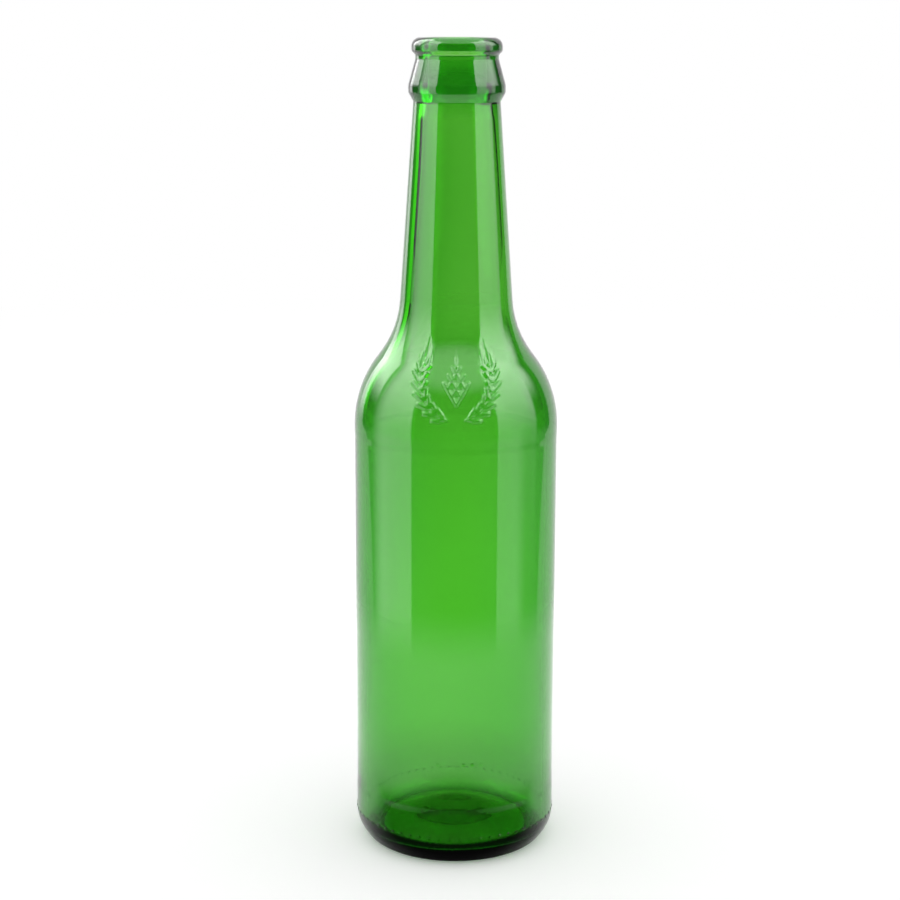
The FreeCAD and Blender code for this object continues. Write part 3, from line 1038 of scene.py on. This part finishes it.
far_off = soft_step(paint_tree, "far off", way_out.outputs["Value"], *TABLE_FAR)
far_off = product(paint_tree, "far off and seen", far_off, seen_through)
far_white = add_node(paint_tree, "ShaderNodeEmission", "white far off")
with_far = add_node(paint_tree, "ShaderNodeMixShader", "near or far table")
feed(paint_tree, with_far, far_off, shaded.outputs[0], far_white.outputs[0])
table_mix = add_node(paint_tree, "ShaderNodeMixShader", "table or open air")
feed(paint_tree, table_mix, gone, with_far.outputs[0], open_air.outputs[0])
paint_out = paint_tree.nodes["Material Output"]
paint_tree.links.new(table_mix.outputs[0], paint_out.inputs["Surface"])
floor_mesh.materials.append(floor_paint)
print("nodes in the table's paint:", len(paint_tree.nodes))

# %% [markdown]
# The world is plain white to the eye, and lights matt things evenly. The glass
# sees a white sheet behind the bottle, which spreads wider low down, and a bright
# ceiling. It sees them in its reflections and through itself. Round them it is
# dark, and only a reflection finds a dim wall there, a little lighter low down at
# the sides.

# %% The room
ROOM_LIGHT = 1.0
ROOM_DIM = 0.1
SIDE_LIFT = 0.32
SIDE_LOW = (0.10, 0.20)
SHEET_EDGE = (0.62, 0.70)
SHEET_LOW = (0.12, 0.30)
SHEET_SPREAD = 0.35
CEILING = (0.55, 0.80)
CEILING_LEVEL = 2.0

world = bpy.data.worlds.new("white_room")
bpy.context.scene.world = world
world.use_nodes = True
room = world.node_tree
for node in list(room.nodes):
    room.nodes.remove(node)
room_out = add_node(room, "ShaderNodeOutputWorld", "room")
direction = add_node(room, "ShaderNodeTexCoord", "direction")
full_xyz = split(room, "height of the direction", direction.outputs["Generated"])
flat_way = add_node(room, "ShaderNodeVectorMath", "direction on the floor plan",
                    operation="MULTIPLY")
feed(room, flat_way, direction.outputs["Generated"], (1.0, 1.0, 0.0))
unit_way = add_node(room, "ShaderNodeVectorMath", "unit length", operation="NORMALIZE")
room.links.new(flat_way.outputs[0], unit_way.inputs[0])
way_xyz = split(room, "x, y", unit_way.outputs[0])
downward = product(room, "downward", full_xyz.outputs[2], -1.0)
low = soft_step(room, "low down", downward, *SHEET_LOW)
spread = product(room, "wider low down", low, SHEET_SPREAD)
backward = calculate(room, "ADD", "away from the camera", way_xyz.outputs[1], spread)
sheet = soft_step(room, "white sheet", backward, *SHEET_EDGE)
ceiling = soft_step(room, "ceiling", full_xyz.outputs[2], *CEILING)
ceiling = product(room, "ceiling level", ceiling, CEILING_LEVEL)
white_part = calculate(room, "MAXIMUM", "sheet or ceiling", sheet, ceiling)
print("nodes in the room so far:", len(room.nodes))

# %% [markdown]
# The kinds of ray decide who sees what. Each part is worked out for all rays, and
# then multiplied by 1 or 0.

# %% Who sees which part of the room
is_camera = light_path_sum(room, "Is Camera Ray")
is_seen = light_path_sum(room, "Is Camera Ray", "Is Glossy Ray", "Is Transmission Ray")
in_glass = calculate(room, "SUBTRACT", "by way of the glass", is_seen, is_camera)
is_through = light_path_sum(room, "Is Camera Ray", "Is Transmission Ray")
is_mirror = calculate(room, "SUBTRACT", "mirror ray", is_seen, is_through)
sideways = product(room, "sideways", way_xyz.outputs[0], way_xyz.outputs[0])
low_side = soft_step(room, "low side", downward, *SIDE_LOW)
sideways = product(room, "sideways and low", sideways, low_side)
dim_wall = calculate(room, "MULTIPLY_ADD", "dim wall", sideways, SIDE_LIFT, ROOM_DIM)
dim_wall = product(room, "dim wall in a mirror", dim_wall, is_mirror)
room_level = calculate(room, "MAXIMUM", "or dim wall", white_part, dim_wall)
is_light = opposite(room, "light on matt things", is_seen)
glass_part = product(room, "glass part", in_glass, room_level)
light_part = product(room, "light part", is_light, ROOM_LIGHT)
level = calculate(room, "ADD", "white and glass", is_camera, glass_part)
level = calculate(room, "ADD", "room level", level, light_part)
room_light = add_node(room, "ShaderNodeBackground", "light of the room")
room_light.inputs["Color"].default_value = (1.0, 1.0, 1.0, 1.0)
room.links.new(level, room_light.inputs["Strength"])
room.links.new(room_light.outputs[0], room_out.inputs[0])
print("nodes in the room:", len(room.nodes))

# %% [markdown]
# The lamps are upright rectangles that fade towards their borders, as a cloth
# over a lamp does, and some are brighter higher up. A lamp's own surface
# coordinates run from 0 to 1 both ways, so a soft step at each border gives the
# fade: first across, start and end, then bottom and top.
#
# They are there to be reflected. They don't light the table, which the room does,
# and they are calmer when seen through the glass, where a full lamp would burn a
# white hole in the bottle. That is a trick for this view: from the side a lamp
# stands behind the neck and still shows in it as a bright patch.

# %% The lamps
LAMP_DISTANCE = 0.75


def soft_lamp(name, inner, outer, bottom, top, fades, radiance,
              rise=(1.0, 0.0, 1.0), through=0.2):
    """An upright lamp between two angles from the camera's side, and two heights.
    rise is its level at the bottom, and where it starts and stops to grow. through
    is its level when seen through glass."""
    turn = math.radians((inner + outer) / 2)
    half_angle = math.radians(abs(outer - inner) / 2)
    width = 2 * LAMP_DISTANCE * math.tan(half_angle)
    data = bpy.data.lights.new(name, "AREA")
    data.shape = "RECTANGLE"
    data.size = width
    data.size_y = top - bottom
    data.energy = radiance * math.pi * width * (top - bottom)
    data.use_nodes = True
    tree = data.node_tree
    surface = add_node(tree, "ShaderNodeNewGeometry", "place on the lamp")
    uv = split(tree, "across, up", surface.outputs["Parametric"])
    low_level, rise_start, rise_end = rise
    level = soft_step(tree, "brighter higher up", uv.outputs[1], rise_start, rise_end, low_level)
    for k in (0, 1):
        from_start = uv.outputs[k]
        from_end = opposite(tree, "from the other border", uv.outputs[k])
        for edge, fade in ((from_start, fades[2 * k]), (from_end, fades[2 * k + 1])):
            border = soft_step(tree, "border", edge, 0.0, fade)
            level = product(tree, "fade", level, border)
    seen_through_glass = light_path_sum(tree, "Is Transmission Ray")
    calmer = calculate(tree, "MULTIPLY_ADD", "calmer through glass",
                       seen_through_glass, through - 1.0, 1.0)
    level = product(tree, "level", level, calmer)
    tree.links.new(level, tree.nodes["Emission"].inputs["Strength"])
    lamp = bpy.data.objects.new(name, data)
    bpy.context.scene.collection.objects.link(lamp)
    place = (LAMP_DISTANCE * math.sin(turn), -LAMP_DISTANCE * math.cos(turn), (bottom + top) / 2)
    lamp.matrix_world = (
        Matrix.Translation(place)
        @ Matrix.Rotation(turn, 4, "Z")
        @ Matrix.Rotation(math.pi / 2, 4, "X")
    )
    lamp.visible_camera = False
    lamp.visible_diffuse = False
    print(name, "width %.2f m, power %.2f W" % (width, data.energy))
    return lamp


# %% [markdown]
# There are three lamps on each side. The long ones give the pale bands of the
# body, and the high ones stand further back. The one behind on the left gives the
# bright streak down the neck. The low one on the right carries its band down.

# %% Set up the lamps
soft_lamp("left_lamp", -49, -110, -0.45, 1.50, (0.4, 0.06, 0.1, 0.1), 5.2, (0.40, 0.22, 0.59))
soft_lamp("left_high_lamp", -104, -146, 0.20, 1.50, (0.1, 0.1, 0.25, 0.1), 6.0)
soft_lamp("left_back_lamp", -129, -146, 0.02, 0.60, (0.2, 0.2, 0.3, 0.4), 1.8, through=1.0)
soft_lamp("right_lamp", 46, 104, -0.20, 1.50, (0.05, 0.12, 0.55, 0.1), 5.3)
soft_lamp("right_high_lamp", 98, 122, 0.25, 1.50, (0.2, 0.6, 0.25, 0.1), 4.5)
soft_lamp("right_foot_lamp", 46, 88, -0.50, 0.30, (0.05, 0.5, 0.2, 0.6), 1.4)

# %% [markdown]
# ## Finish
# The picture uses the plain Standard view, so a colour shows about as it is
# written.

# %% Use the Standard view
bpy.context.scene.view_settings.view_transform = "Standard"
